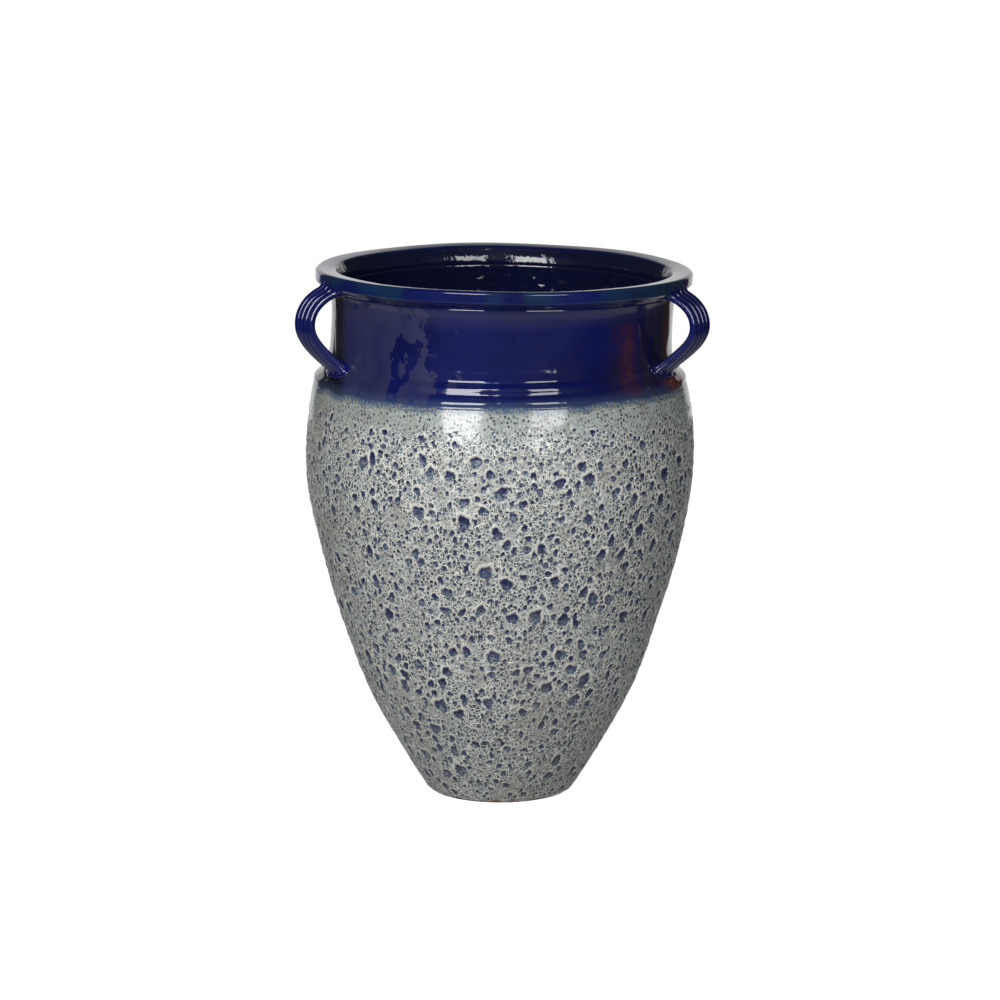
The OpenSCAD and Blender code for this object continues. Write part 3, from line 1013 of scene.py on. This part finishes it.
def pot_material(name):
    """One skin of glaze: cobalt, crater glaze and bare clay by the layers of the mesh."""
    s = Shader(name)
    cover = s.layer("cover")
    edging = cover.between(0.0, 0.25) * cover.between(1.0, 0.75)
    speckle = (cover + (s.noise(480.0, 2.0, 0.6) - 0.5) * edging * 2.8).between(0.42, 0.62)
    clay = s.layer("clay")
    crater_colour, crater_rough, crater_height = crater_look(s)
    cobalt_colour, cobalt_rough, cobalt_height = cobalt_look(s)
    clay_colour, clay_rough, clay_height = clay_look(s)
    border = cover.between(0.0, 0.30)
    cobalt_colour = s.mix(border * 0.8, cobalt_colour, linear(*TEAL_BLUE))
    tan = s.noise(380.0, 2.0).between(0.56, 0.64) * border * cover.between(1.0, 0.80)
    crater_colour = s.mix(cover.between(1.0, 0.55) * 0.7, crater_colour, linear(*BORDER_GREY))
    colour = s.mix(speckle, cobalt_colour, crater_colour)
    colour = s.mix(tan * 0.7, colour, linear(*TAN))
    colour = s.mix(clay, colour, clay_colour)
    rough = cobalt_rough + (crater_rough - cobalt_rough) * speckle
    rough = rough + (clay_rough - rough) * clay
    s.put(s.surface.inputs["Base Color"], colour)
    s.put(s.surface.inputs["Roughness"], rough)
    s.surface.inputs["IOR"].default_value = 1.5
    crater_normal = s.bump(crater_height * speckle, 0.62 * MM)
    waves = s.bump(cobalt_height * (1.0 - cover), 1.6 * MM, under=crater_normal)
    grain = s.bump(clay_height * clay, 0.15 * MM, under=waves)
    s.links.new(grain, s.surface.inputs["Normal"])
    return s.material


# ---------------------------------------- studio

SWEEP_GLOW = 0.95
SWEEP_R = 30.0
SWEEP_BEND = 6.0                 # radius of the curve from floor to wall
SWEEP_TOP = 14.0
SWEEP_DROP = 0.2 * MM            # of the floor below the foot
AIM = Vector((0, 0, 0.42))       # where the lamps point


def sweep_material():
    s = Shader("studio_sweep")
    s.surface.inputs["Base Color"].default_value = (0.86, 0.86, 0.86, 1)
    s.surface.inputs["Roughness"].default_value = 0.9
    s.surface.inputs["Specular IOR Level"].default_value = 0.0
    s.surface.inputs["Emission Color"].default_value = (1, 1, 1, 1)
    s.surface.inputs["Emission Strength"].default_value = SWEEP_GLOW
    return s.material


def build_sweep():
    """A wide pale floor, a hair below the foot, that curves up far away into a wall.

    Only the camera sees it: the world's own light stands for its bounce and reflection."""
    flat_r = SWEEP_R - SWEEP_BEND
    line = [(0.02, 0.0), (2.0, 0.0), (flat_r, 0.0)]
    line += [(flat_r + SWEEP_BEND * math.sin(a), SWEEP_BEND * (1 - math.cos(a)))
             for a in np.linspace(0.2, 1.57, 8)]
    line += [(SWEEP_R, SWEEP_TOP)]
    sides = 96
    verts = [(r * math.cos(a), r * math.sin(a), z - SWEEP_DROP)
             for r, z in line for a in np.linspace(0, TAU, sides, False)]
    faces = [(i * sides + k, i * sides + (k + 1) % sides, (i + 1) * sides + (k + 1) % sides,
              (i + 1) * sides + k) for i in range(len(line) - 1) for k in range(sides)]
    faces.append(tuple(reversed(range(sides))))
    mesh = bpy.data.meshes.new("studio_sweep")
    mesh.from_pydata(verts, [], faces)
    mesh.polygons.foreach_set("use_smooth", np.ones(len(faces), dtype=bool))
    sweep = bpy.data.objects.new("studio_sweep", mesh)
    sweep.data.materials.append(sweep_material())
    bpy.context.scene.collection.objects.link(sweep)
    sweep.visible_glossy = False
    sweep.visible_diffuse = False
    sweep.visible_shadow = False


def softbox(name, azimuth, elevation, distance, width, height, power, shine):
    """A rectangular light aimed at the pot; azimuth is from the viewer's side, positive right.

    With shine it is seen only in reflections, without it only lights the surface."""
    data = bpy.data.lights.new(name, "AREA")
    data.shape = "RECTANGLE"
    data.size = width
    data.size_y = height
    data.energy = power
    lamp = bpy.data.objects.new(name, data)
    lamp.visible_camera = False
    lamp.visible_glossy = shine
    lamp.visible_diffuse = not shine
    bpy.context.scene.collection.objects.link(lamp)
    a, e = math.radians(azimuth), math.radians(elevation)
    way = Vector((math.sin(a) * math.cos(e), -math.cos(a) * math.cos(e), math.sin(e)))
    lamp.location = AIM + way * distance
    lamp.rotation_euler = way.to_track_quat("Z", "Y").to_euler()


ROOM = 0.05                      # brightness of the dark studio
FRONT_HIGH = 0.36                # of the studio on the viewer's side, above and below eye level
FRONT_LOW = 0.20
BACKDROP = 1.05                  # of the lit paper behind the pot
PAPER = 0.48                     # of the lit paper under and round the pot


def build_world():
    """Studio: a dark room, dim on the viewer's side, with white paper behind and below the pot."""
    world = bpy.data.worlds.new("studio")
    s = Graph(world, "Generated")
    light = s.nodes.new("ShaderNodeBackground")
    output = s.nodes.new("ShaderNodeOutputWorld")
    s.links.new(light.outputs[0], output.inputs["Surface"])
    y, z = s.along("Y"), s.along("Z")
    backdrop = y.between(0.86, 0.895) * z.between(0.52, 0.14) * BACKDROP
    paper = z.between(-0.34, -0.50) * PAPER
    upper = z.between(-0.05, 0.25) * (FRONT_HIGH - FRONT_LOW) + FRONT_LOW
    front = y.between(-0.2, -0.9) * upper
    s.put(light.inputs["Strength"], backdrop.most(paper).most(front).most(ROOM))
    bpy.context.scene.world = world


CAMERA_PLACE = (0.0, -4.5, 1.155)
CAMERA_DIP = math.radians(10.69)
CAMERA_LENS = 158.87


def build_camera():
    data = bpy.data.cameras.new("camera")
    data.lens = CAMERA_LENS
    data.sensor_width = 36.0
    data.clip_end = 200.0
    camera = bpy.data.objects.new("camera", data)
    bpy.context.scene.collection.objects.link(camera)
    camera.location = CAMERA_PLACE
    camera.rotation_euler = (math.pi / 2 - CAMERA_DIP, 0, 0)
    bpy.context.scene.camera = camera


LAMPS = [                        # name, azimuth, elevation, distance, width, height, power, shine
    ("key_left", -21.5, 27, 2.6, 1.15, 1.7, 40.0, False),
    ("key_left_shine", -21.5, 25.5, 2.45, 1.0, 1.95, 76.0, True),
    ("fill_right", 26.5, 24, 2.6, 0.86, 1.1, 9.0, False),
    ("fill_right_shine", 26.5, 22, 2.45, 0.84, 1.6, 36.0, True),
]


def build_studio():
    build_sweep()
    build_world()
    for facts in LAMPS:
        softbox(*facts)
    build_camera()
    view = bpy.context.scene.view_settings
    view.view_transform = "Standard"
    view.look = "None"


def build_pot():
    body = pot_material("crater_glaze")
    neck = pot_material("cobalt_glaze")
    foot = pot_material("bare_clay")
    base_piece(foot)
    wall_section("lower_wall", ROW, body)
    wall_section("belly_wall", ROW, body)
    wall_section("shoulder_wall", SHOULDER_ROW, body)
    neck_piece(neck)
    lip_piece(neck)
    handle_piece("handle_left", neck)
    handle_piece("handle_right", neck)


build_pot()
build_studio()
